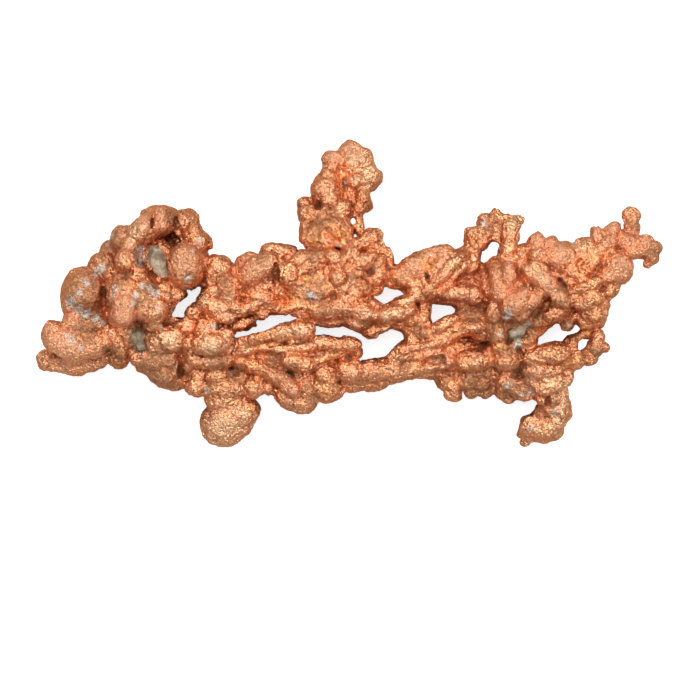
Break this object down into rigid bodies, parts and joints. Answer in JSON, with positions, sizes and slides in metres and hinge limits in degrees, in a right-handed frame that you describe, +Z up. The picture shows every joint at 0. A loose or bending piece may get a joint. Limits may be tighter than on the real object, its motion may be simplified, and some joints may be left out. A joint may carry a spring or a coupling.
{
  "type": "native copper nugget",
  "caption": "Flat branching nugget of native copper, crusted with rounded lumps and pierced by small windows, with grains of rock caught in it.",
  "frame": {"origin": "on the table, under the middle of the nugget's box", "axes": "+X along the nugget's length towards its hooked arm, +Y across it towards its upright arm, +Z up from the table"},
  "size_m": [0.0878, 0.0434, 0.0168],
  "materials": {
    "copper": "bright natural copper, rough crust with some smooth lumps",
    "pale_rock": "matte pale rock",
    "dark_rock": "matte dark rock"
  },
  "bodies": {
    "root": {"left_cluster": "copper", "middle_body": "copper", "upright_arm": "copper", "lower_lobe": "copper", "lower_spear": "copper", "right_beam": "copper", "right_hub": "copper", "right_foot": "copper", "pale_grain": "pale_rock", "dark_grain": "dark_rock", "hub_grain": "pale_rock"}
  },
  "joints": []
}
